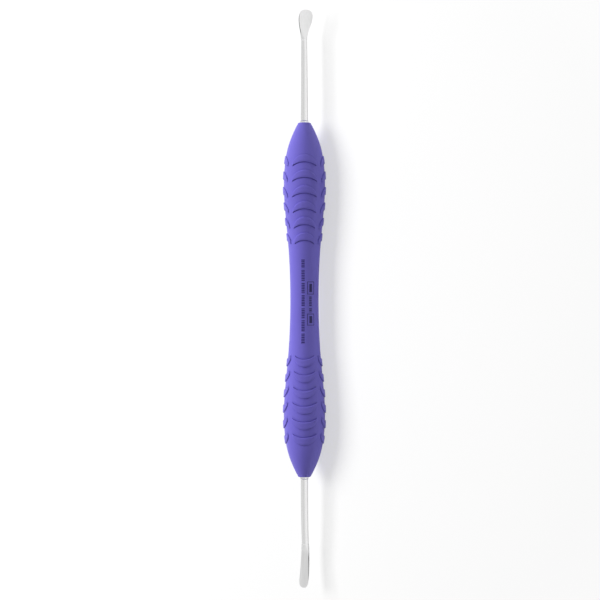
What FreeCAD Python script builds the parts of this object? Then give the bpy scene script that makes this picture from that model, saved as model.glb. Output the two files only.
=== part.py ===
import FreeCAD, Part

import math
import os

# A double-ended surgical elevator: a soft grip moulded over a metal core, with a steel
# spoon blade on a slim shank at each end. Millimetres and degrees.
#
# Every piece is drawn round the Y axis, with the middle of the grip at the origin, the wide
# blade at +Y and the dished faces of both blades toward +Z. The whole is then turned about
# its length, so that it lies on two rows of pads, and is set down on the plane z = 0.

# Length of the grip, and how far each blade reaches past it
grip_length = 97.7
wide_reach = 31.5
narrow_reach = 30.8

# Outline of the grip: its radius at named places, each place measured back from the mouth
mouth_radius = 1.68
nose_radius = 2.86
nose_setback = 2.25
shoulder_radius = 4.31
shoulder_setback = 5.9
brow_radius = 5.33
brow_setback = 10.9
belly_radius = 5.70
belly_setback = 17.2
flank_radius = 5.19
flank_setback = 26.0
hip_radius = 4.42
hip_setback = 34.4
waist_radius = 3.91
lip_chamfer = 0.25

# Crescent pads: their rows run along the grip, and its two halves carry the same pads
pad_rows = 4
pads_in_row = 6
pad_pitch = 4.27
pad_setback = 9.1
pad_length = 2.15
pad_hollow = 1.1
pad_half_angle = 38.0
pad_height = 0.28
crest_flats = 6
hollow_flats = 4

# Core inside the grip, with a socket bored in each end
core_radius = 2.4
core_taper = 3.0
neck_radius = 1.1
neck_length = 5.0
ring_showing = 0.5
ring_chamfer = 0.1
tang_radius = 0.65
tang_length = 12.0

# Both steel ends: the foot of the shank, and the turn of each blade about its length
shank_foot_radius = 0.96
seat_flare = 0.08
seat_flare_length = 0.45
blade_roll = 20.0
tip_thickness = 0.25

# Wide blade and its shank
wide_blade_length = 8.5
wide_blade_width = 3.94
wide_tip_length = 2.05
wide_shank_radius = 0.78
wide_shoulder_step = 0.05
wide_dish_radius = 5.0
wide_back_radius = 4.5
wide_bow = 0.25
wide_rise = 2.4

# Narrow blade and its shank
narrow_blade_length = 12.0
narrow_blade_width = 2.66
narrow_tip_length = 2.3
narrow_shank_radius = 0.91
narrow_shoulder_step = 0.1
narrow_dish_radius = 3.6
narrow_back_radius = 2.8
narrow_bow = 0.7
narrow_rise = 2.3

# How the instrument lies: turned halfway between two rows of pads
rest_turn = 180.0 / pad_rows

half_grip = grip_length / 2
seat_place = half_grip + ring_showing
along = FreeCAD.Vector(0, 1, 0)
toward_face = FreeCAD.Vector(0, 0, 1)
origin = FreeCAD.Vector(0, 0, 0)


def vec(x, y, z=0.0):
    return FreeCAD.Vector(x, y, z)


def turned_about_length(shape, degrees):
    copy = shape.copy()
    copy.rotate(origin, along, degrees)
    return copy


def turned_end_for_end(shape):
    copy = shape.copy()
    copy.rotate(origin, toward_face, 180)
    return copy


def revolved(wire):
    """Solid of revolution about the length, its seam between two rows of pads."""
    face = turned_about_length(Part.Face(wire), rest_turn)
    return face.revolve(origin, along, 360)


# Grip sleeve

def grip_outline():
    """Spline through the radii of the grip without its pads, from mouth to mouth."""
    half = [
        (mouth_radius, 0.0),
        (nose_radius, nose_setback),
        (shoulder_radius, shoulder_setback),
        (brow_radius, brow_setback),
        (belly_radius, belly_setback),
        (flank_radius, flank_setback),
        (hip_radius, hip_setback),
    ]
    upper = [vec(radius, half_grip - setback) for radius, setback in half]
    lower = [vec(point.x, -point.y) for point in reversed(upper)]
    spline = Part.BSplineCurve()
    spline.interpolate(upper + [vec(waist_radius, 0)] + lower)
    return spline


def outline_bends():
    """Distances from the waist at which each half of the outline bends, none of them under a pad."""
    gap = pad_pitch - pad_length - pad_hollow
    last = half_grip - pad_setback + gap / 2
    between_pads = [last - number * pad_pitch for number in range(pads_in_row, -1, -1)]
    nose = [last + share * (half_grip - last) for share in (0.27, 0.54, 0.8)]
    return [between_pads[0] / 2] + between_pads + nose


def grip_body(raised):
    """The grip without its pads, grown all over by a height, as a chain of short cones."""
    half = [vec(grip_radius_at(bend) + raised, bend) for bend in outline_bends()]
    half.append(vec(mouth_radius + raised, half_grip - lip_chamfer))
    half.append(vec(mouth_radius + raised - lip_chamfer, half_grip))
    half.append(vec(0, half_grip))
    mirrored = [vec(point.x, -point.y) for point in reversed(half)]
    outline = mirrored + [vec(waist_radius + raised, 0)] + half
    return revolved(Part.makePolygon(outline + [outline[0]]))


def grip_radius_at(station):
    """Radius of the grip without its pads at a distance from its middle."""
    ray = Part.LineSegment(vec(0, station), vec(2 * belly_radius, station))
    return grip_outline().intersectCC(ray)[0].X


def pad_prism(number):
    """Upright prism over one pad's crescent, its two arcs made of short flats, in the row at +Z."""
    hollow = half_grip - pad_setback - pad_length - number * pad_pitch
    horns = hollow - pad_hollow
    crest = hollow + pad_length
    half_span = grip_radius_at(horns) * math.sin(math.radians(pad_half_angle))
    left = vec(-half_span, horns)
    right = vec(half_span, horns)
    crest_arc = Part.Arc(left, vec(0, crest), right).toShape()
    hollow_arc = Part.Arc(right, vec(0, hollow), left).toShape()
    corners = crest_arc.discretize(crest_flats + 1) + hollow_arc.discretize(hollow_flats + 1)[1:]
    return Part.Face(Part.makePolygon(corners)).extrude(toward_face * 2 * belly_radius)


def pads():
    """All the pads, as closed solids that reach down into the grip."""
    grown = grip_body(pad_height)
    row = []
    for number in range(pads_in_row):
        pad = grown.common(pad_prism(number))
        row += [pad, turned_end_for_end(pad)]
    solids = []
    for row_number in range(pad_rows):
        solids += [turned_about_length(pad, row_number * 360.0 / pad_rows) for pad in row]
    return solids


def grip_sleeve():
    return grip_body(0).fuse(pads()).cut(core_blank())


# Core

def core_blank():
    """The core before its sockets are bored, which is also the hole in the sleeve."""
    neck_end = half_grip - neck_length
    half = [
        vec(0, seat_place),
        vec(neck_radius - ring_chamfer, seat_place),
        vec(neck_radius, seat_place - ring_chamfer),
        vec(neck_radius, neck_end),
        vec(core_radius, neck_end - core_taper),
    ]
    mirrored = [vec(point.x, -point.y) for point in reversed(half)]
    outline = half + mirrored
    return revolved(Part.makePolygon(outline + [outline[0]]))


def handle_core():
    socket = Part.makeCylinder(tang_radius, tang_length, vec(0, seat_place - tang_length), along)
    return core_blank().cut([socket, turned_end_for_end(socket)])


# Steel ends

def bezier(*poles):
    curve = Part.BezierCurve()
    curve.setPoles(list(poles))
    return curve.toShape()


class SteelEnd:
    """One forging of tang, shank and blade, drawn from its seat on the core at y = 0."""

    # Stations of the ground faces, as shares of the blade's length from its root
    stations = (-0.06, 0.05, 0.16, 0.3, 0.5, 0.75, 1.04)
    # Handles that round a quarter of the tip, and that sweep the sides out to the widest place
    tip_handle = 0.55
    side_handle = 0.36

    def __init__(self, reach, blade_length, blade_width, tip_length, shank_radius, shoulder_step,
                 dish_radius, back_radius, bow, rise):
        self.root = reach - ring_showing - blade_length
        self.length = blade_length
        self.half_width = blade_width / 2
        self.tip_length = tip_length
        self.shank_radius = shank_radius
        self.root_radius = shank_radius + shoulder_step
        self.dish_radius = dish_radius
        self.back_radius = back_radius
        self.bow = bow
        self.rise = rise
        self.room = 1.5 * blade_width

    def shank(self):
        """Round shank that narrows toward the blade and bows back before it."""
        run = self.root - seat_flare_length
        circles = []
        for share in (0, 0.2, 0.4, 0.6, 0.8, 1):
            radius = shank_foot_radius + (self.shank_radius - shank_foot_radius) * share
            centre = vec(0, seat_flare_length + share * run, -self.bow * share ** 2)
            circles.append(Part.Wire(Part.makeCircle(radius, centre, along)))
        foot_radius = shank_foot_radius + seat_flare
        foot = Part.makeCone(foot_radius, shank_foot_radius, seat_flare_length, origin, along)
        tang = Part.makeCylinder(tang_radius, tang_length, vec(0, -tang_length), along)
        return Part.makeLoft(circles, True, True).fuse([foot, tang])

    def plan_prism(self):
        """Upright prism over the spoon outline of the blade."""
        widest = self.root + self.length - self.tip_length
        tip = self.root + self.length
        side_reach = self.side_handle * (widest - self.root)
        level = -self.room
        side = bezier(
            vec(self.root_radius, self.root, level),
            vec(self.root_radius, self.root + side_reach, level),
            vec(self.half_width, widest - side_reach, level),
            vec(self.half_width, widest, level),
        )
        quarter = bezier(
            vec(self.half_width, widest, level),
            vec(self.half_width, widest + self.tip_handle * self.tip_length, level),
            vec(self.tip_handle * self.half_width, tip, level),
            vec(0, tip, level),
        )
        mirrored = [edge.mirror(origin, vec(1, 0)) for edge in (quarter, side)]
        left = vec(-self.root_radius, self.root, level)
        right = vec(self.root_radius, self.root, level)
        outline = Part.Wire([side, quarter] + mirrored + [Part.makeLine(left, right)])
        return Part.Face(outline).extrude(toward_face * 2 * self.room)

    def back_height(self, share):
        """Height of the middle of the blade's back at a share of its length."""
        return -self.bow - self.root_radius + self.rise * max(0.0, share) ** 1.6

    def thickness(self, share):
        """Thickness on the middle line, thinned toward the tip."""
        thinning = max(0.0, 1 - share) ** 1.8
        return tip_thickness + (2 * self.root_radius - tip_thickness) * thinning

    def back_curl(self, share):
        """Curvature across the back: round like the shank at the root, flatter at the tip."""
        rod = 1 / (2 * self.root_radius)
        blade = 1 / (2 * self.back_radius)
        return blade + (rod - blade) * max(0.0, 1 - share) ** 3

    def face_curl(self, share):
        """Curvature across the face: round like the shank at the root, then dished."""
        rod = 1 / (2 * self.root_radius)
        blade = 1 / (2 * self.dish_radius)
        return blade - (rod + blade) * max(0.0, 1 - share) ** 4

    def grinding_tool(self, height, curl, side):
        """Solid beyond a ground surface, above it for side 1 and below it for side -1."""
        sections = []
        for share in self.stations:
            place = self.root + share * self.length
            middle = height(share)
            lift = curl(share) * self.room ** 2
            left = vec(-self.room, place, middle + lift)
            right = vec(self.room, place, middle + lift)
            far = side * 4 * self.room
            sections.append(Part.Wire([
                bezier(left, vec(0, place, middle - lift), right),
                Part.makeLine(right, vec(self.room, place, far)),
                Part.makeLine(vec(self.room, place, far), vec(-self.room, place, far)),
                Part.makeLine(vec(-self.room, place, far), left),
            ]))
        return Part.makeLoft(sections, True)

    def blade(self):
        back = self.grinding_tool(self.back_height, self.back_curl, -1)
        face = self.grinding_tool(
            lambda share: self.back_height(share) + self.thickness(share), self.face_curl, 1)
        return self.plan_prism().cut([back, face])

    def solid(self):
        """The whole forging, with its blade turned about its length."""
        return turned_about_length(self.shank().fuse(self.blade()), blade_roll)


def working_end_wide():
    end = SteelEnd(
        wide_reach, wide_blade_length, wide_blade_width, wide_tip_length, wide_shank_radius,
        wide_shoulder_step, wide_dish_radius, wide_back_radius, wide_bow, wide_rise).solid()
    end.translate(along * seat_place)
    return end


def working_end_narrow():
    end = SteelEnd(
        narrow_reach, narrow_blade_length, narrow_blade_width, narrow_tip_length, narrow_shank_radius,
        narrow_shoulder_step, narrow_dish_radius, narrow_back_radius, narrow_bow, narrow_rise).solid()
    end.translate(along * seat_place)
    return turned_end_for_end(end)


# The instrument as it lies

def laid_down(pieces):
    """Turns the pieces onto two rows of pads, lowers them to z = 0 and centres their length."""
    turned = {name: turned_about_length(shape, rest_turn) for name, shape in pieces.items()}
    drop = -turned["grip_sleeve"].optimalBoundingBox().ZMin
    centring = (narrow_reach - wide_reach) / 2
    for shape in turned.values():
        shape.translate(vec(0, centring, drop))
    return turned


def main():
    os.makedirs("parts", exist_ok=True)
    pieces = laid_down({
        "grip_sleeve": grip_sleeve(),
        "handle_core": handle_core(),
        "working_end_wide": working_end_wide(),
        "working_end_narrow": working_end_narrow(),
    })
    for name, shape in pieces.items():
        shape.exportStep("parts/" + name + ".step")
        print(name, "solids", len(shape.Solids), "valid", shape.isValid(), "volume", round(shape.Volume, 2))


main()
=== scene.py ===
"""Looks of a double-ended surgical elevator with a soft padded grip.

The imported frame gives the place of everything. Each visible piece is a surface worked out on a
grid with numpy, in millimetres, round the Y axis, with the middle of the grip at the origin and
the dished faces of the blades toward +Z. Lying puts such points where the frame has them.
"""
import logging
import math
from dataclasses import dataclass
from enum import Enum

import bpy
import numpy as np
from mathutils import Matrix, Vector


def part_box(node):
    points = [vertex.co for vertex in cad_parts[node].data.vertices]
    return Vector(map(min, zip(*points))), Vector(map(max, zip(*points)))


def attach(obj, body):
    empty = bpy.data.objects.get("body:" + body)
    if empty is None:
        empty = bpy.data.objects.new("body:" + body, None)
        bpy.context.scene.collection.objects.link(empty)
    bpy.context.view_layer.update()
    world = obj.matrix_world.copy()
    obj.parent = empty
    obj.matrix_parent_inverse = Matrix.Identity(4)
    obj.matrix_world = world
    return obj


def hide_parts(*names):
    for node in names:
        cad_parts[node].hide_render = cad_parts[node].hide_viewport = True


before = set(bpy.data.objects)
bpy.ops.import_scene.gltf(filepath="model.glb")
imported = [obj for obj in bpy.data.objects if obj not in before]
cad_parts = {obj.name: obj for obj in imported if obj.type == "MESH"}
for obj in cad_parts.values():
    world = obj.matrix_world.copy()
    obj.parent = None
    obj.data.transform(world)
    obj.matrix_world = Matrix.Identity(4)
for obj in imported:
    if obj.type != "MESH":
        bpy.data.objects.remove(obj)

log = logging.getLogger("elevator")

MM = 0.001
TINY = 1e-6
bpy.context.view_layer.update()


class Blade(Enum):
    """The two working ends, told apart by the way they point along the length."""

    WIDE = 1
    NARROW = -1


# ---------------------------------------------------------------- shapes on grids


def smoothstep(value: np.ndarray) -> np.ndarray:
    """Rises from 0 to 1 with flat ends, as 3 t squared less 2 t cubed, t kept within 0 and 1."""
    t = np.clip(value, 0.0, 1.0)
    return t * t * (3.0 - 2.0 * t)


def bezier(poles: list[tuple[float, float]], steps: np.ndarray) -> np.ndarray:
    """Points of a cubic Bezier curve: its four poles weighted by the Bernstein cubics.

    Args:
        poles: The four poles, each a pair.
        steps: Parameters from 0 to 1.

    Returns:
        One row a parameter, one column a coordinate.
    """
    t = steps[:, None]
    a, b, c, d = (np.array(pole) for pole in poles)
    return (1 - t) ** 3 * a + 3 * (1 - t) ** 2 * t * b + 3 * (1 - t) * t ** 2 * c + t ** 3 * d


def spline(places: np.ndarray, values: np.ndarray, end_slope: float, at: np.ndarray) -> np.ndarray:
    """Cubic spline through values, flat at its first place and with a given slope at its last.

    The slopes at the places solve the usual tridiagonal system for equal second derivatives on
    both sides, and each span is then the cubic Hermite curve between its two ends.

    Args:
        places: Rising places of the values.
        values: What the curve passes through.
        end_slope: Slope at the last place.
        at: Where the curve is wanted.

    Returns:
        The curve's values.
    """
    span = np.diff(places)
    rise = np.diff(values) / span
    count = len(places)
    matrix = np.eye(count)
    right = np.zeros(count)
    right[-1] = end_slope
    inner = np.arange(1, count - 1)
    matrix[inner, inner - 1] = span[1:]
    matrix[inner, inner] = 2 * (span[:-1] + span[1:])
    matrix[inner, inner + 1] = span[:-1]
    right[inner] = 3 * (span[1:] * rise[:-1] + span[:-1] * rise[1:])
    slope = np.linalg.solve(matrix, right)
    piece = np.clip(np.searchsorted(places, at) - 1, 0, count - 2)
    t = (at - places[piece]) / span[piece]
    return (
        (2 * t ** 3 - 3 * t ** 2 + 1) * values[piece]
        + (t ** 3 - 2 * t ** 2 + t) * span[piece] * slope[piece]
        + (3 * t ** 2 - 2 * t ** 3) * values[piece + 1]
        + (t ** 3 - t ** 2) * span[piece] * slope[piece + 1]
    )


def turned(points: np.ndarray, degrees: float) -> np.ndarray:
    """Points turned about the Y axis, +Z going toward +X, by the plane rotation of x and z."""
    angle = math.radians(degrees)
    x, y, z = np.moveaxis(points, -1, 0)
    across = x * math.cos(angle) + z * math.sin(angle)
    height = z * math.cos(angle) - x * math.sin(angle)
    return np.stack([across, y, height], axis=-1)


@dataclass(frozen=True)
class Lying:
    """Where the instrument lies: how far it is turned about its length, and its grip's middle."""

    turn: float
    middle_y: float
    axis_height: float

    @classmethod
    def of_frame(cls) -> "Lying":
        """Reads the grip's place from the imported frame; the pads' rows stand at 45 degrees."""
        low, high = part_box("grip_sleeve")
        middle = (low + high) / 2
        return cls(turn=45.0, middle_y=middle.y / MM, axis_height=middle.z / MM)

    def placed(self, points: np.ndarray) -> np.ndarray:
        """Points drawn round the origin, in millimetres, put in the frame, in metres."""
        return (turned(points, self.turn) + [0.0, self.middle_y, self.axis_height]) * MM


@dataclass
class GridSkin:
    """Turns a grid of points, rows along the piece and columns round it, into one mesh."""

    name: str
    points: np.ndarray
    rows_close: bool

    def quads(self) -> np.ndarray:
        """Corner numbers of every quad: each cell of the grid, wrapped round its columns."""
        rows, columns = self.points.shape[:2]
        last = rows if self.rows_close else rows - 1
        row, column = np.meshgrid(np.arange(last), np.arange(columns), indexing="ij")
        next_row = (row + 1) % rows
        next_column = (column + 1) % columns
        corners = [
            row * columns + column,
            row * columns + next_column,
            next_row * columns + next_column,
            next_row * columns + column,
        ]
        return np.stack(corners, axis=-1).reshape(-1, 4)

    def mesh(self) -> bpy.types.Mesh:
        """The mesh, its open ends closed by fans round a pole in the middle of each end row."""
        rows, columns = self.points.shape[:2]
        vertices = self.points.reshape(-1, 3)
        quads = self.quads()
        triangles = np.zeros((0, 3), int)
        if not self.rows_close:
            poles = [self.points[0].mean(axis=0), self.points[-1].mean(axis=0)]
            vertices = np.concatenate([vertices, poles])
            column = np.arange(columns)
            following = (column + 1) % columns
            first_pole = np.full(columns, rows * columns)
            last_row = (rows - 1) * columns
            triangles = np.concatenate([
                np.stack([first_pole, following, column], axis=-1),
                np.stack([first_pole + 1, last_row + column, last_row + following], axis=-1),
            ])
        mesh = bpy.data.meshes.new(self.name)
        mesh.vertices.add(len(vertices))
        mesh.vertices.foreach_set("co", vertices.astype(np.float32).ravel())
        corners = np.concatenate([quads.ravel(), triangles.ravel()])
        sizes = np.concatenate([np.full(len(quads), 4), np.full(len(triangles), 3)])
        starts = np.concatenate([[0], np.cumsum(sizes)[:-1]])
        mesh.loops.add(len(corners))
        mesh.loops.foreach_set("vertex_index", corners.astype(np.int32))
        mesh.polygons.add(len(sizes))
        mesh.polygons.foreach_set("loop_start", starts.astype(np.int32))
        mesh.polygons.foreach_set("use_smooth", np.ones(len(sizes), bool))
        mesh.update(calc_edges=True)
        mesh.validate()
        return mesh

    def piece(self) -> bpy.types.Object:
        """The mesh as an object at the origin of the scene."""
        return new_object(self.name, self.mesh())


def new_object(name: str, data: bpy.types.ID) -> bpy.types.Object:
    """A new object, linked to the scene's own collection."""
    made = bpy.data.objects.new(name, data)
    bpy.context.scene.collection.objects.link(made)
    return made


def stand(thing: bpy.types.Object, axes: tuple[np.ndarray, ...], place: np.ndarray) -> None:
    """Gives an object its three axes and its place."""
    matrix = np.eye(4)
    matrix[:3, 0], matrix[:3, 1], matrix[:3, 2] = axes
    matrix[:3, 3] = place
    thing.matrix_world = matrix.T


# ---------------------------------------------------------------- finishes


class TreeDesk:
    """A short hand for the nodes of one node tree."""

    def __init__(self, tree: bpy.types.NodeTree) -> None:
        """Starts with the tree emptied."""
        self.tree = tree
        self.tree.nodes.clear()

    def join(self, source: bpy.types.NodeSocket, target: bpy.types.NodeSocket) -> None:
        """Links two sockets."""
        self.tree.links.new(source, target)

    def node(self, kind: str, **settings: object) -> bpy.types.Node:
        """A new node with some of its properties set."""
        made = self.tree.nodes.new("ShaderNode" + kind)
        for key, value in settings.items():
            setattr(made, key, value)
        return made

    def math(self, operation: str, *values: object) -> bpy.types.NodeSocket:
        """A Math node.

        Args:
            operation: Blender's name of the operation.
            values: Numbers or sockets for its inputs.

        Returns:
            Its output socket.
        """
        made = self.node("Math", operation=operation)
        for socket, value in zip(made.inputs, values):
            if isinstance(value, bpy.types.NodeSocket):
                self.join(value, socket)
            else:
                socket.default_value = value
        return made.outputs[0]

    def seen(self) -> bpy.types.NodeSocket:
        """One for rays from the camera, from gloss and through glass, and zero for the rest."""
        path = self.node("LightPath")
        shown = self.math("MAXIMUM", path.outputs["Is Camera Ray"], path.outputs["Is Glossy Ray"])
        return self.math("MAXIMUM", shown, path.outputs["Is Transmission Ray"])


class NodeDesk(TreeDesk):
    """A short hand for the nodes of one material."""

    def __init__(self, name: str) -> None:
        """Starts an empty node material with an output and a Principled shader."""
        self.material = bpy.data.materials.new(name)
        self.material.use_nodes = True
        super().__init__(self.material.node_tree)
        self.output = self.node("OutputMaterial")
        self.shader = self.node("BsdfPrincipled")
        self.join(self.shader.outputs[0], self.output.inputs["Surface"])

    def attribute(self, name: str) -> bpy.types.NodeSocket:
        """A value that the mesh carries on its points; zero on a mesh without it."""
        return self.node("Attribute", attribute_name=name).outputs["Fac"]

    def noise(self, vector: bpy.types.NodeSocket, scale: float, detail: float) -> bpy.types.NodeSocket:
        """A Noise texture's grey value over a vector."""
        made = self.node("TexNoise")
        self.join(vector, made.inputs["Vector"])
        made.inputs["Scale"].default_value = scale
        made.inputs["Detail"].default_value = detail
        return made.outputs[0]

    def ranged(self, value: bpy.types.NodeSocket, low: float, high: float) -> bpy.types.NodeSocket:
        """A value from 0 to 1 spread over another range."""
        made = self.node("MapRange")
        self.join(value, made.inputs["Value"])
        made.inputs["To Min"].default_value = low
        made.inputs["To Max"].default_value = high
        return made.outputs[0]

    def blend(self, factor: bpy.types.NodeSocket, first: object, second: object) -> bpy.types.NodeSocket:
        """Two colours mixed by a factor.

        Args:
            factor: Zero for the first colour, one for the second.
            first: A colour's three numbers, or a socket.
            second: The same.

        Returns:
            The mixed colour's socket.
        """
        made = self.node("Mix", data_type="RGBA")
        self.join(factor, made.inputs[0])
        for socket, colour in ((made.inputs[6], first), (made.inputs[7], second)):
            if isinstance(colour, bpy.types.NodeSocket):
                self.join(colour, socket)
            else:
                socket.default_value = (*colour, 1.0)
        return made.outputs[2]

    def bump(self, height: bpy.types.NodeSocket, strength: float, distance: float) -> None:
        """Bump from a height, on the shader's normal."""
        made = self.node("Bump")
        made.inputs["Strength"].default_value = strength
        made.inputs["Distance"].default_value = distance
        self.join(height, made.inputs["Height"])
        self.join(made.outputs[0], self.shader.inputs["Normal"])


@dataclass(frozen=True)
class PrintedMarks:
    """Plain marks printed on the waist: two lines of dashes and two outlined boxes.

    Places are in millimetres: round the waist from the middle of the shown side, and along the
    grip from its middle.
    """

    ink: tuple[float, float, float] = (0.022, 0.014, 0.130)
    girth: float = 24.8
    first_line: tuple[float, float, float, float] = (-0.38, 0.88, -12.1, 11.1)
    second_line: tuple[float, float, float, float] = (1.72, 0.80, -3.4, 1.1)
    boxes: tuple[tuple[float, float, float, float], ...] = (
        (1.78, 2.1, -7.0, -3.8),
        (1.78, 2.1, 1.5, 5.0),
    )
    box_line: float = 0.16
    filled_margin: float = 0.62
    dash_pitch: float = 0.46
    dash_share: float = 0.64
    group_pitch: float = 3.45
    group_share: float = 0.87
    dash_shift: float = 50.0

    def inside(self, desk: NodeDesk, value: bpy.types.NodeSocket,
               low: float, high: float) -> bpy.types.NodeSocket:
        """One where a value lies between two limits, and zero elsewhere."""
        above = desk.math("GREATER_THAN", value, low)
        below = desk.math("LESS_THAN", value, high)
        return desk.math("MULTIPLY", above, below)

    def patch(self, desk: NodeDesk, around: bpy.types.NodeSocket, along: bpy.types.NodeSocket,
              place: tuple[float, float, float, float], margin: float) -> bpy.types.NodeSocket:
        """One within a mark's rectangle, made smaller all round by a margin."""
        middle, width, low, high = place
        across = self.inside(desk, around, middle - width / 2 + margin, middle + width / 2 - margin)
        length = self.inside(desk, along, low + margin, high - margin)
        return desk.math("MULTIPLY", across, length)

    def repeats(self, desk: NodeDesk, along: bpy.types.NodeSocket,
                pitch: float, share: float) -> bpy.types.NodeSocket:
        """One over the first share of every pitch; the shift keeps places above zero."""
        phase = desk.math("FRACT", desk.math("DIVIDE", desk.math("ADD", along, self.dash_shift), pitch))
        return desk.math("LESS_THAN", phase, share)

    def mask(self, desk: NodeDesk) -> bpy.types.NodeSocket:
        """One on the ink and zero beside it, from the grip's own UV map."""
        layout = desk.node("UVMap", uv_map="grip")
        split = desk.node("SeparateXYZ")
        desk.join(layout.outputs[0], split.inputs[0])
        around = desk.math("MULTIPLY", desk.math("SUBTRACT", split.outputs[0], 0.5), self.girth)
        along = desk.math("MULTIPLY", desk.math("SUBTRACT", split.outputs[1], 0.5), GripSizes.length)
        dashes = desk.math(
            "MULTIPLY",
            self.repeats(desk, along, self.dash_pitch, self.dash_share),
            self.repeats(desk, along, self.group_pitch, self.group_share),
        )
        lines = desk.math(
            "MAXIMUM",
            self.patch(desk, around, along, self.first_line, 0.0),
            self.patch(desk, around, along, self.second_line, 0.0),
        )
        ink = desk.math("MULTIPLY", lines, dashes)
        for box in self.boxes:
            outer = self.patch(desk, around, along, box, 0.0)
            inner = self.patch(desk, around, along, box, self.box_line)
            core = self.patch(desk, around, along, box, self.filled_margin)
            ring = desk.math("SUBTRACT", outer, inner)
            ink = desk.math("MAXIMUM", ink, desk.math("MAXIMUM", ring, core))
        return ink


@dataclass(frozen=True)
class SoftSilicone:
    """Matt violet silicone with a fine moulded grain, and painted shade in the creases under the pads.
    """

    deep: tuple[float, float, float] = (0.195, 0.162, 0.700)
    pale: tuple[float, float, float] = (0.225, 0.188, 0.780)
    # Painted shade: the colour mixed in along the creases at the pads' steps, where shadow falls.
    crease_shade: tuple[float, float, float] = (0.085, 0.065, 0.400)
    cloud_scale: float = 90.0
    cloud_detail: float = 3.0
    roughness: tuple[float, float] = (0.47, 0.58)
    specular: float = 0.35
    sheen: float = 0.12
    sheen_roughness: float = 0.4
    grain_scale: float = 5200.0
    grain_detail: float = 2.0
    grain_strength: float = 0.5
    grain_height: float = 0.00002

    def material(self, marks: PrintedMarks) -> bpy.types.Material:
        """The silicone with its printed marks.

        Args:
            marks: What is printed on the waist.

        Returns:
            The node material.
        """
        desk = NodeDesk("soft_silicone")
        place = desk.node("TexCoord").outputs["Object"]
        cloud = desk.noise(place, self.cloud_scale, self.cloud_detail)
        plain = desk.blend(cloud, self.deep, self.pale)
        # Painted shade: the creases at the pads' steps are darkened toward the colour above, as the
        # mesh's attribute says.
        shaded = desk.blend(desk.attribute("crease_shade"), plain, self.crease_shade)
        desk.join(desk.blend(marks.mask(desk), shaded, marks.ink), desk.shader.inputs["Base Color"])
        grain = desk.noise(place, self.grain_scale, self.grain_detail)
        desk.join(desk.ranged(grain, *self.roughness), desk.shader.inputs["Roughness"])
        desk.bump(grain, self.grain_strength, self.grain_height)
        desk.shader.inputs["Specular IOR Level"].default_value = self.specular
        desk.shader.inputs["Sheen Weight"].default_value = self.sheen
        desk.shader.inputs["Sheen Roughness"].default_value = self.sheen_roughness
        return desk.material


@dataclass(frozen=True)
class SurgicalSteel:
    """Stainless steel: drawn and polished on the shank, ground satin where its attribute says, with
    painted shade on the blade's side wall.
    """

    dark: tuple[float, float, float] = (0.80, 0.80, 0.80)
    light: tuple[float, float, float] = (0.92, 0.92, 0.92)
    # Painted shade: the near black colour put on the blade's side wall, where it lies in shade.
    wall: tuple[float, float, float] = (0.07, 0.07, 0.075)
    edge_tint: float = 0.12
    polished: float = 0.20
    satin: float = 0.42
    roughness_spread: float = 0.05
    grain_scale: float = 2600.0
    grain_detail: float = 4.0
    grain_strength: float = 0.35
    grain_height: float = 0.000004

    def material(self, name: str, stretch: tuple[float, float, float]) -> bpy.types.Material:
        """The steel.

        Args:
            name: The material's name.
            stretch: Scale of the grain along X, Y and Z: small along the way it was drawn.

        Returns:
            The node material.
        """
        desk = NodeDesk(name)
        place = desk.node("TexCoord").outputs["Object"]
        stretched = desk.node("Mapping")
        stretched.inputs["Scale"].default_value = stretch
        desk.join(place, stretched.inputs["Vector"])
        grain = desk.noise(stretched.outputs[0], self.grain_scale, self.grain_detail)
        drawn = desk.blend(grain, self.dark, self.light)
        # Painted shade: the blade's side wall takes the near black colour where its attribute says.
        shaded = desk.blend(desk.attribute("wall"), drawn, self.wall)
        desk.join(shaded, desk.shader.inputs["Base Color"])
        desk.shader.inputs["Specular Tint"].default_value = (*[self.edge_tint] * 3, 1.0)
        level = desk.ranged(desk.attribute("satin"), self.polished, self.satin)
        spread = desk.ranged(grain, -self.roughness_spread, self.roughness_spread)
        desk.join(desk.math("ADD", level, spread), desk.shader.inputs["Roughness"])
        desk.bump(grain, self.grain_strength, self.grain_height)
        desk.shader.inputs["Metallic"].default_value = 1.0
        return desk.material


# ---------------------------------------------------------------- the grip


@dataclass
class GripSizes:
    """Outline of the grip: radii at distances from its middle."""

    length: float = 97.7
    places: tuple[float, ...] = (0.0, 14.45, 22.85, 31.65, 37.95, 42.95, 46.6, 48.85)
    radii: tuple[float, ...] = (3.91, 4.42, 5.19, 5.70, 5.33, 4.31, 2.86, 1.68)
    mouth_slope: float = -0.62
    lip: float = 0.25
    neck_radius: float = 1.1
    neck_length: float = 5.0
    core_radius: float = 2.4
    core_taper: float = 3.0


@dataclass
class PadSizes:
    """Crescent pads in four rows, the same on both halves of the grip.

    The steps give the shares of the pad's height row by row, and the shades how much painted shade
    each row takes: first across the hollow's step, from its foot up, then across the crest's, down.
    The narrow parts replace the runs where a pad is narrow, as parts of its length there.
    """

    rows: int = 4
    in_row: int = 6
    pitch: float = 4.27
    setback: float = 9.1
    length: float = 2.15
    hollow: float = 1.1
    half_angle: float = 38.0
    height: float = 0.28
    step_run: float = 0.11
    foot_run: float = 0.12
    groove: float = 0.08
    least_length: float = 0.12
    horn_fading: float = 3.4
    foot_part: float = 0.4
    narrow_foot: float = 0.15
    narrow_top: float = 0.35
    top_rows: int = 5
    hollow_step: tuple[float, float, float] = (0.0, 0.0, 0.6)
    crest_step: tuple[float, float, float] = (0.7, 0.0, 0.0)
    hollow_shade: tuple[float, float, float] = (0.2, 0.9, 0.75)
    crest_shade: tuple[float, float, float] = (0.1, 0.7, 0.2)


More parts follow.
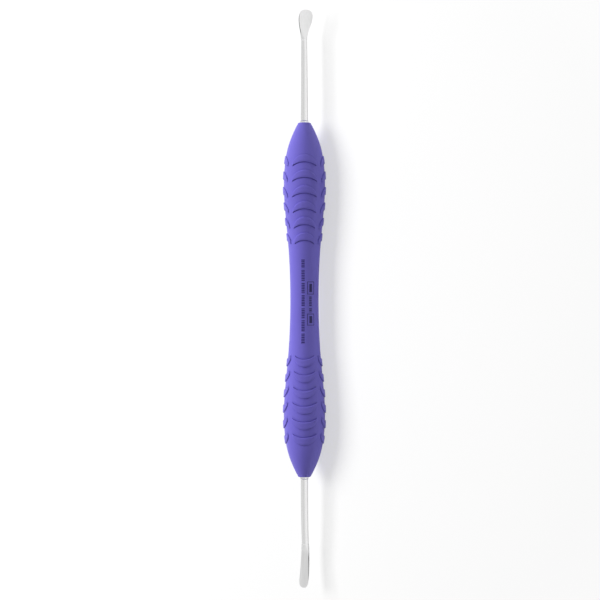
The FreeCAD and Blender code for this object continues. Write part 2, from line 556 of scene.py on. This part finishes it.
@dataclass
class SoftGrip:
    """The moulded sleeve: a waisted tube with crescent pads."""

    lying: Lying
    sizes: GripSizes
    pads: PadSizes
    pad_columns: int = 66
    gap_columns: int = 8
    horn_clustering: float = 75.0
    waist_rows: int = 14
    valley_rows: int = 3
    nose_rows: int = 24
    lip_rows: int = 7
    waist_margin: float = 0.9
    nose_margin: float = 1.0
    arc_rounds: int = 4

    def base_radius(self, along: np.ndarray) -> np.ndarray:
        """Radius without pads: the spline through the named radii, the same on both halves."""
        sizes = self.sizes
        return spline(np.array(sizes.places), np.array(sizes.radii), sizes.mouth_slope, np.abs(along))

    def column_angles(self) -> np.ndarray:
        """Angles of the columns: over a pad they follow a sine, so they crowd toward its horns."""
        half = math.radians(self.pads.half_angle)
        sector = 2 * math.pi / self.pads.rows
        limit = math.radians(self.horn_clustering)
        over = half * np.sin(np.linspace(-limit, limit, self.pad_columns)) / math.sin(limit)
        between = np.linspace(half, sector - half, self.gap_columns + 2)[1:-1]
        one_row = np.concatenate([over, between])
        return np.concatenate([one_row + sector * number for number in range(self.pads.rows)])

    def from_row(self, angle: np.ndarray) -> np.ndarray:
        """Angle to the middle line of the nearest row of pads, never below zero."""
        sector = 2 * math.pi / self.pads.rows
        return np.abs(np.mod(angle + sector / 2, sector) - sector / 2)

    def pad_horns(self, number: int) -> float:
        """Distance of a pad's horns from the middle of the grip."""
        pads = self.pads
        return self.sizes.length / 2 - pads.setback - number * pads.pitch - pads.length - pads.hollow

    def arc_line(self, angle: np.ndarray, number: int, apex: float) -> np.ndarray:
        """Where an arc through a pad's horns and an apex crosses each column.

        The arc is a circle in the plan of the pad. The distance of a column from the middle line
        is the radius there times the sine of its angle, found in a few rounds because the radius
        depends on the place. Beyond the horns the line stays at their place.

        Args:
            angle: Angles of the columns.
            number: The pad's number in its row, from the mouth.
            apex: Distance of the arc's apex from the middle of the grip.

        Returns:
            Distances from the middle of the grip, one for each column.
        """
        horns = self.pad_horns(number)
        half = math.radians(self.pads.half_angle)
        span = float(self.base_radius(np.array([horns]))[0]) * math.sin(half)
        rise = apex - horns
        bend = (span ** 2 + rise ** 2) / (2 * rise)
        share = np.sin(self.from_row(angle))
        inside = self.from_row(angle) < half - TINY
        line = np.full(angle.shape, horns)
        for _ in range(self.arc_rounds):
            across = np.minimum(self.base_radius(line) * share, span)
            line = np.where(inside, apex - bend + np.sqrt(bend ** 2 - across ** 2), horns)
        return line

    def pad_rows(self, angle: np.ndarray, number: int) -> tuple[np.ndarray, np.ndarray, np.ndarray]:
        """Rows over one pad, from the valley at its hollow to the valley at its crest.

        Two rows stand close on each side of both steps, which keeps the steps crisp, and the top
        between them is even. The foot of the hollow's step has a fine groove. Where the pad is
        narrower than its steps they shrink with it.

        Args:
            angle: Angles of the columns.
            number: The pad's number in its row, from the mouth.

        Returns:
            Distances from the middle of the grip, heights of the pad and the painted shade in the
            creases, a row for each row.
        """
        pads = self.pads
        apex = self.sizes.length / 2 - pads.setback - number * pads.pitch
        hollow = self.arc_line(angle, number, apex - pads.length)
        crest = np.maximum(self.arc_line(angle, number, apex), hollow + pads.least_length)
        length = crest - hollow
        near_foot = np.minimum(pads.step_run * pads.foot_part, pads.narrow_foot * length)
        near_top = np.minimum(pads.step_run, pads.narrow_top * length)
        low, high = hollow + near_top, crest - near_top
        shares = np.linspace(0, 1, pads.top_rows)[:, None]
        places = np.concatenate([
            [hollow - pads.foot_run, hollow, hollow + near_foot],
            low + (high - low) * shares,
            [crest - near_foot, crest, crest + pads.foot_run],
        ])
        steps = [*pads.hollow_step, *[1.0] * pads.top_rows, *pads.crest_step]
        profile = pads.height * np.array(steps)
        profile[1] -= pads.groove
        # How much painted shade each row takes in the creases, fading toward the horns.
        crease_shade = np.array([*pads.hollow_shade, *[0.0] * pads.top_rows, *pads.crest_shade])
        half = math.radians(pads.half_angle)
        fading = smoothstep((half - self.from_row(angle)) / math.radians(pads.horn_fading))
        return places, profile[:, None] * fading, crease_shade[:, None] * fading

    def upper_half(self, angle: np.ndarray) -> tuple[np.ndarray, np.ndarray, np.ndarray]:
        """Rows from the middle of the waist to the upper lip, with the pads' heights and painted shade.

        Args:
            angle: Angles of the columns.

        Returns:
            Distances from the middle of the grip, heights and painted shade, a row for each row.
        """
        pads = self.pads
        half = self.sizes.length / 2
        start = self.pad_horns(pads.in_row - 1) - self.waist_margin
        shoulder = half - pads.setback + self.nose_margin
        flat = np.ones((1, len(angle)))
        places = [np.linspace(0, start, self.waist_rows)[:, None] * flat]
        lifts = [np.zeros((self.waist_rows, len(angle)))]
        crease_shades = [lifts[0]]
        share = np.linspace(0, 1, self.valley_rows + 2)[1:-1, None]
        valley = np.zeros((self.valley_rows, len(angle)))
        for number in reversed(range(pads.in_row)):
            over, lift, crease_shade = self.pad_rows(angle, number)
            places += [places[-1][-1] + (over[0] - places[-1][-1]) * share, over]
            lifts += [valley, lift]
            crease_shades += [valley, crease_shade]
        places.append(places[-1][-1] + (shoulder - places[-1][-1]) * share)
        places.append(np.linspace(shoulder, half - self.sizes.lip, self.nose_rows)[:, None] * flat)
        nose = np.zeros((self.valley_rows + self.nose_rows, len(angle)))
        return np.concatenate(places), np.concatenate(lifts + [nose]), np.concatenate(crease_shades + [nose])

    def lip(self) -> np.ndarray:
        """Pairs of radius and place round the upper lip: a quarter circle, then the flat mouth."""
        sizes = self.sizes
        half = sizes.length / 2
        edge = float(self.base_radius(np.array([half - sizes.lip]))[0])
        angle = np.linspace(0, math.pi / 2, self.lip_rows + 1)[1:]
        arc = np.stack([edge - sizes.lip + sizes.lip * np.cos(angle),
                        half - sizes.lip + sizes.lip * np.sin(angle)], axis=-1)
        flat = np.array([[sizes.neck_radius, half]])
        return np.concatenate([arc, flat])

    def bore(self) -> np.ndarray:
        """Pairs of radius and place down the bore, which is the outline of the core."""
        sizes = self.sizes
        neck_end = sizes.length / 2 - sizes.neck_length
        upper = [(sizes.neck_radius, neck_end), (sizes.core_radius, neck_end - sizes.core_taper)]
        lower = [(radius, -place) for radius, place in reversed(upper)]
        return np.array(upper + lower)

    def points(self) -> np.ndarray:
        """The closed grid: along the outside, round one lip, down the bore and round the other."""
        angle = self.column_angles()
        upper, upper_lift, _ = self.upper_half(angle)
        along = np.concatenate([-upper[:0:-1], upper])
        outside = self.base_radius(along) + np.concatenate([upper_lift[:0:-1], upper_lift])
        lip = self.lip()
        lower_lip = lip[::-1] * [1, -1]
        plain = np.concatenate([lip, self.bore(), lower_lip])[:, :, None] * np.ones(len(angle))
        radii = np.concatenate([outside, plain[:, 0]])
        places = np.concatenate([along, plain[:, 1]])
        return np.stack([radii * np.sin(angle), places, radii * np.cos(angle)], axis=-1)

    def paint_crease_shade(self, mesh: bpy.types.Mesh) -> None:
        """Writes the painted shade of each point in the creases at the pads' steps: the outside's rows
        come first.
        """
        crease_shade = self.upper_half(self.column_angles())[2]
        outside = np.concatenate([crease_shade[:0:-1], crease_shade]).ravel()
        value = np.zeros(len(mesh.vertices), np.float32)
        value[:len(outside)] = outside
        layer = mesh.attributes.new("crease_shade", "FLOAT", "POINT")
        layer.data.foreach_set("value", value)

    def lay_out(self, mesh: bpy.types.Mesh) -> None:
        """UV map of the whole sleeve: its angle round the grip, and its place along it.

        The cut runs along the back, opposite the shown side. A corner on the cut takes the angle
        that its own face needs, so no face crosses the map.

        Args:
            mesh: The sleeve's mesh, still in its drawn place.
        """
        corners = np.empty(len(mesh.loops), np.int32)
        mesh.loops.foreach_get("vertex_index", corners)
        place = np.empty(len(mesh.vertices) * 3, np.float32)
        mesh.vertices.foreach_get("co", place)
        place = place.reshape(-1, 3)[corners].reshape(-1, 4, 3)
        around = np.arctan2(place[..., 0], place[..., 2]) / (2 * math.pi) + 0.5
        wraps = np.ptp(around, axis=1, keepdims=True) > 0.5
        around = np.where(wraps & (around < 0.5), around + 1.0, around)
        along = place[..., 1] / self.sizes.length + 0.5
        layer = mesh.uv_layers.new(name="grip")
        layer.uv.foreach_set("vector", np.stack([around, along], axis=-1).astype(np.float32).ravel())

    def build(self, material: bpy.types.Material) -> bpy.types.Object:
        """Makes the sleeve and puts it in place of the frame's.

        Args:
            material: Its silicone.

        Returns:
            The new piece.
        """
        piece = GridSkin("soft_grip", self.points(), rows_close=True).piece()
        self.lay_out(piece.data)
        self.paint_crease_shade(piece.data)
        settle(piece, self.lying)
        piece.data.materials.append(material)
        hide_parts("grip_sleeve")
        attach(piece, "root")
        report(piece)
        return piece


# ---------------------------------------------------------------- the steel


@dataclass
class ForgedEnd:
    """One forging of tang, shank and spoon blade, drawn from its seat on the core.

    The three pairs of the wall's painted shade are each the start and the length of a smooth step: over
    the cosine of a ring's angle, and twice over the blade's share of length, where the painted shade
    starts and stops.
    """

    lying: Lying
    blade: Blade
    reach: float
    blade_length: float
    blade_width: float
    tip_length: float
    shank_radius: float
    shoulder_step: float
    dish_radius: float
    back_radius: float
    bow: float
    rise: float
    ring_showing: float = 0.5
    tang_radius: float = 0.65
    tang_length: float = 12.0
    tang_chamfer: float = 0.1
    foot_radius: float = 0.96
    flare: float = 0.08
    flare_length: float = 0.45
    roll: float = 20.0
    tip_thickness: float = 0.25
    edge_rounding: float = 0.10
    side_sweep: float = 0.36
    tip_poles: tuple[float, float] = (0.66, 0.62)
    tip_stop: float = 0.995
    easing: float = 0.16
    satin_fading: float = 0.4
    wall_shade_side: tuple[float, float] = (0.955, 0.03)
    wall_shade_start: tuple[float, float] = (0.14, 0.2)
    wall_shade_stop: tuple[float, float] = (0.66, 0.26)
    columns: int = 96
    shank_rings: int = 39
    side_rings: int = 110
    tip_rings: int = 69

    @property
    def root(self) -> float:
        """Place of the blade's root."""
        return self.reach - self.ring_showing - self.blade_length

    @property
    def root_radius(self) -> float:
        """Radius of the shoulder where the blade starts."""
        return self.shank_radius + self.shoulder_step

    def shank_rows(self) -> tuple[np.ndarray, np.ndarray]:
        """Places and radii from the end of the tang to the root of the blade."""
        known = np.array([
            (-self.tang_length, self.tang_radius - self.tang_chamfer),
            (self.tang_chamfer - self.tang_length, self.tang_radius),
            (0.0, self.tang_radius),
            (0.0, self.foot_radius + self.flare),
            (self.flare_length, self.foot_radius),
        ])
        share = np.linspace(0, 1, self.shank_rings + 1)[1:]
        place = self.flare_length + share * (self.root - self.flare_length)
        radius = self.foot_radius + (self.shank_radius - self.foot_radius) * share
        return np.concatenate([known[:, 0], place]), np.concatenate([known[:, 1], radius])

    def centre_height(self, place: np.ndarray) -> np.ndarray:
        """Height of the shank's middle: it bows back by the square of its share of the length."""
        share = np.clip((place - self.flare_length) / (self.root - self.flare_length), 0.0, 1.0)
        return -self.bow * share ** 2

    def outline(self) -> tuple[np.ndarray, np.ndarray]:
        """Places and half widths of the spoon: a Bezier side, then a Bezier quarter round its tip."""
        tip = self.root + self.blade_length
        widest = tip - self.tip_length
        half = self.blade_width / 2
        sweep = self.side_sweep * (widest - self.root)
        forward, sideways = self.tip_poles
        side = bezier([(self.root_radius, self.root), (self.root_radius, self.root + sweep),
                       (half, widest - sweep), (half, widest)], np.linspace(0, 1, self.side_rings))
        quarter = bezier([(half, widest), (half, widest + forward * self.tip_length),
                          (sideways * half, tip), (0.0, tip)],
                         np.linspace(0, self.tip_stop, self.tip_rings + 1)[1:])
        both = np.concatenate([side, quarter])
        return both[:, 1], both[:, 0]

    def spoon(self, place: np.ndarray, half_width: np.ndarray, angle: np.ndarray) -> np.ndarray:
        """Rings of the blade.

        Each ring runs over the face and back under it. Back and face are parabolas across the
        blade whose curvature goes from the shank's to that of the ground spoon, by the third and
        fourth power of the length still to go. The back rises by the power 1.6 of the share of
        the length, and the thickness falls by the power 1.8 of what is left of it. The wall
        between them is rounded at both sides and round the tip.

        Args:
            place: Places along the blade.
            half_width: Half widths there.
            angle: Angle round each ring.

        Returns:
            The grid of points.
        """
        share = np.clip((place - self.root) / self.blade_length, 0.0, 1.0)[:, None]
        rod = 1 / (2 * self.root_radius)
        back_height = -self.bow - self.root_radius + self.rise * share ** 1.6
        thickness = self.tip_thickness + (2 * self.root_radius - self.tip_thickness) * (1 - share) ** 1.8
        back_blade = 1 / (2 * self.back_radius)
        face_blade = 1 / (2 * self.dish_radius)
        back_curl = back_blade + (rod - back_blade) * (1 - share) ** 3
        face_curl = face_blade - (rod + face_blade) * (1 - share) ** 4
        across = half_width[:, None] * np.cos(angle)
        back = back_height + back_curl * across ** 2
        face = back_height + thickness + face_curl * across ** 2
        wall = np.abs(across) - half_width[:, None] + self.edge_rounding
        side = np.sqrt(np.clip(1 - np.clip(wall / self.edge_rounding, 0, 1) ** 2, 0, 1))
        beyond = (place - self.root - self.blade_length + self.edge_rounding)[:, None]
        end = np.sqrt(np.clip(1 - np.clip(beyond / self.edge_rounding, 0, 1) ** 2, 0, 1))
        half = (face - back) / 2 * side * end * np.sign(np.sin(angle))
        height = (face + back) / 2 + half
        return np.stack([across, np.broadcast_to(place[:, None], across.shape), height], axis=-1)

    def ring(self, place: np.ndarray, radius: np.ndarray, angle: np.ndarray) -> np.ndarray:
        """Round rings of a given radius about the bowed middle line."""
        across = radius[:, None] * np.cos(angle)
        height = self.centre_height(place)[:, None] + radius[:, None] * np.sin(angle)
        return np.stack([across, np.broadcast_to(place[:, None], across.shape), height], axis=-1)

    def points(self) -> np.ndarray:
        """The whole forging: round rings, eased into the spoon's rings past its root."""
        angle = np.linspace(0, 2 * math.pi, self.columns, endpoint=False)[None, :]
        shank_place, shank_radius = self.shank_rows()
        blade_place, half_width = self.outline()
        shank = self.ring(shank_place, shank_radius, angle)
        round_rings = self.ring(blade_place, np.full_like(blade_place, self.root_radius), angle)
        spoon = self.spoon(blade_place, half_width, angle)
        eased = smoothstep((blade_place - self.root) / (self.easing * self.blade_length))[:, None, None]
        blade = round_rings + (spoon - round_rings) * eased
        drawn = turned(np.concatenate([shank, blade]), self.roll)
        drawn[..., 1] += GripSizes.length / 2 + self.ring_showing
        return drawn[:, ::-1] * [self.blade.value, self.blade.value, 1]

    def build(self, name: str, node: str, material: bpy.types.Material) -> bpy.types.Object:
        """Makes the forging and puts it in place of the frame's.

        Args:
            name: The piece's name.
            node: The frame's node that it stands for.
            material: Its steel.

        Returns:
            The new piece.
        """
        piece = GridSkin(name, self.points(), rows_close=False).piece()
        self.mark_satin_and_wall_shade(piece.data)
        settle(piece, self.lying)
        piece.data.materials.append(material)
        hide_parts(node)
        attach(piece, "root")
        report(piece)
        return piece

    def mark_satin_and_wall_shade(self, mesh: bpy.types.Mesh) -> None:
        """Writes two values for each point: satin past the blade's shoulder, and painted shade on its
        wall.

        The wall is where a ring's angle is within about 15 degrees of either side. The painted shade
        lies along the middle of the blade, from past the shoulder and fading toward the tip.

        Args:
            mesh: The forging's mesh, still in its drawn place.
        """
        place = np.empty(len(mesh.vertices) * 3, np.float32)
        mesh.vertices.foreach_get("co", place)
        reach = np.abs(place.reshape(-1, 3)[:, 1]) - GripSizes.length / 2 - self.ring_showing
        satin = smoothstep((reach - self.root) / self.satin_fading)
        share = (reach - self.root) / self.blade_length
        angle = np.arange(len(reach)) % self.columns * (2 * math.pi / self.columns)
        side, start, stop = (
            smoothstep((value - first) / run)
            for value, (first, run) in (
                (np.abs(np.cos(angle)), self.wall_shade_side),
                (share, self.wall_shade_start),
                (share, self.wall_shade_stop),
            )
        )
        # The wall value is painted shade, mixed into the steel's colour.
        for name, value in (("satin", satin), ("wall", side * start * (1 - stop))):
            layer = mesh.attributes.new(name, "FLOAT", "POINT")
            layer.data.foreach_set("value", value.astype(np.float32))


def settle(piece: bpy.types.Object, lying: Lying) -> None:
    """Moves a piece's points from their drawn place to their place in the frame."""
    mesh = piece.data
    place = np.empty(len(mesh.vertices) * 3, np.float32)
    mesh.vertices.foreach_get("co", place)
    laid = lying.placed(place.reshape(-1, 3).astype(float))
    mesh.vertices.foreach_set("co", laid.astype(np.float32).ravel())
    mesh.update()


def report(piece: bpy.types.Object) -> None:
    """Logs a finished piece with its count of triangles."""
    count = sum(len(face.vertices) - 2 for face in piece.data.polygons)
    log.info("%s: %d triangles", piece.name, count)


def dress_core(material: bpy.types.Material) -> None:
    """Gives the frame's core its steel; only its two rings show."""
    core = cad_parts["handle_core"]
    core.data.materials.clear()
    core.data.materials.append(material)
    log.info("handle_core: kept from the frame")


# ---------------------------------------------------------------- the studio


@dataclass
class Studio:
    """Pale floor, soft light from the upper left of the picture, and the camera."""

    lying: Lying
    distance: float = 0.400
    pixels_per_mm: float = 3.62
    picture: float = 600.0
    middle_px: tuple[float, float] = (304.45, 299.85)
    key_way: tuple[float, float, float] = (-0.97, 0.22, 0.26)
    key_level: float = 1.0
    key_size: float = 0.45
    key_distance: float = 0.70
    ambient: float = 0.22
    ambient_slope: float = 0.19
    overhead: float = 0.74
    ceiling: tuple[float, float] = (0.25, 0.95)
    floor_half: float = 1.5
    floor_roughness: float = 0.9
    floor_colour: float = 0.94
    floor_shown: float = 0.45
    floor_glow: float = 0.60
    far_glow: float = 0.95
    glow_reach: tuple[float, float] = (0.10, 0.55)
    sensor: float = 36.0
    clipping: tuple[float, float] = (0.01, 20.0)

    def directions(self) -> tuple[np.ndarray, np.ndarray, np.ndarray]:
        """The picture's right, up and toward the camera, in the frame."""
        axes = turned(np.eye(3), self.lying.turn)
        return axes[0], axes[1], axes[2]

    def camera(self) -> None:
        """Camera that sees the shown side square on, the blades pointing up and down."""
        right, up, toward = self.directions()
        off_right = (self.middle_px[0] - self.picture / 2) / self.pixels_per_mm
        off_up = (self.picture / 2 - self.middle_px[1]) / self.pixels_per_mm
        target = self.lying.placed(np.zeros((1, 3)))[0] - (right * off_right + up * off_up) * MM
        data = bpy.data.cameras.new("camera")
        data.sensor_width = self.sensor
        data.lens = self.pixels_per_mm * self.distance / MM / self.picture * self.sensor
        data.clip_start, data.clip_end = self.clipping
        made = new_object("camera", data)
        stand(made, (right, up, toward), target + toward * self.distance)
        bpy.context.scene.camera = made

    def lamp(self) -> None:
        """One large soft lamp, up and to the left of the picture, with a level for white."""
        right, up, toward = self.directions()
        way = self.key_way[0] * right + self.key_way[1] * up + self.key_way[2] * toward
        way = way / np.linalg.norm(way)
        data = bpy.data.lights.new("key", "AREA")
        data.shape = "SQUARE"
        data.size = self.key_size
        data.energy = self.key_level * math.pi ** 2 * self.key_distance ** 2
        made = new_object("key", data)
        across = np.cross(up, way)
        across = across / np.linalg.norm(across)
        middle = self.lying.placed(np.zeros((1, 3)))[0]
        stand(made, (across, np.cross(way, across), way), middle + way * self.key_distance)
        made.visible_glossy = False

    def world(self) -> None:
        """Soft light, stronger from the wide blade's end, seen as white with a grey ceiling."""
        world = bpy.data.worlds.new("studio")
        bpy.context.scene.world = world
        world.use_nodes = True
        desk = TreeDesk(world.node_tree)
        lighting = desk.node("Background")
        shown = desk.node("Background")
        split = desk.node("SeparateXYZ")
        desk.join(desk.node("TexCoord").outputs["Generated"], split.inputs[0])
        level = desk.math("MULTIPLY_ADD", split.outputs[1], self.ambient_slope, self.ambient)
        desk.join(level, lighting.inputs["Strength"])
        ramp = desk.node("ValToRGB")
        greys = (1.0, self.overhead)
        for stop, place, grey in zip(ramp.color_ramp.elements, self.ceiling, greys):
            stop.position = place
            stop.color = (grey, grey, grey, 1.0)
        desk.join(split.outputs[2], ramp.inputs[0])
        desk.join(ramp.outputs[0], shown.inputs["Color"])
        mix = desk.node("MixShader")
        desk.join(desk.seen(), mix.inputs[0])
        desk.join(lighting.outputs[0], mix.inputs[1])
        desk.join(shown.outputs[0], mix.inputs[2])
        desk.join(mix.outputs[0], desk.node("OutputWorld").inputs[0])

    def floor(self) -> None:
        """Pale floor that reads as white, also far from the lamp, and keeps the shadow."""
        half = self.floor_half
        mesh = bpy.data.meshes.new("floor")
        corners = [(-half, -half, 0), (half, -half, 0), (half, half, 0), (-half, half, 0)]
        mesh.from_pydata(corners, [], [(0, 1, 2, 3)])
        made = new_object("floor", mesh)
        desk = NodeDesk("floor_paper")
        seen = desk.seen()
        paper = desk.blend(seen, (self.floor_colour,) * 3, (self.floor_shown,) * 3)
        desk.join(paper, desk.shader.inputs["Base Color"])
        desk.shader.inputs["Roughness"].default_value = self.floor_roughness
        desk.shader.inputs["Specular IOR Level"].default_value = 0.0
        glow = desk.node("Emission")
        away = desk.node("VectorMath", operation="LENGTH")
        desk.join(desk.node("NewGeometry").outputs["Position"], away.inputs[0])
        level = desk.ranged(away.outputs["Value"], self.floor_glow, self.far_glow)
        level.node.inputs["From Min"].default_value = self.glow_reach[0]
        level.node.inputs["From Max"].default_value = self.glow_reach[1]
        desk.join(desk.math("MULTIPLY", seen, level), glow.inputs["Strength"])
        both = desk.node("AddShader")
        desk.join(desk.shader.outputs[0], both.inputs[0])
        desk.join(glow.outputs[0], both.inputs[1])
        desk.join(both.outputs[0], desk.output.inputs["Surface"])
        mesh.materials.append(desk.material)

    def set_up(self) -> None:
        """Camera, lamp, world, floor and plain view settings."""
        self.camera()
        self.lamp()
        self.world()
        self.floor()
        bpy.context.scene.view_settings.view_transform = "Standard"


def main() -> None:
    logging.basicConfig(level=logging.INFO, format="%(name)s %(message)s")
    lying = Lying.of_frame()
    Studio(lying).set_up()
    grip = SoftGrip(lying, GripSizes(), PadSizes())
    grip.build(SoftSilicone().material(PrintedMarks()))
    steel = SurgicalSteel().material("surgical_steel", (1.0, 0.06, 1.0))
    wide = ForgedEnd(
        lying, Blade.WIDE, reach=31.05, blade_length=8.05, blade_width=4.0, tip_length=1.9,
        shank_radius=0.78, shoulder_step=0.05, dish_radius=5.0, back_radius=4.5, bow=0.25, rise=2.4)
    wide.build("wide_end", "working_end_wide", steel)
    narrow = ForgedEnd(
        lying, Blade.NARROW, reach=30.55, blade_length=11.75, blade_width=2.66, tip_length=1.9,
        shank_radius=0.91, shoulder_step=0.1, dish_radius=3.6, back_radius=2.8, bow=0.7, rise=2.3)
    narrow.build("narrow_end", "working_end_narrow", steel)
    dress_core(SurgicalSteel().material("core_steel", (0.06, 1.0, 0.06)))


if __name__ == "__main__":
    main()
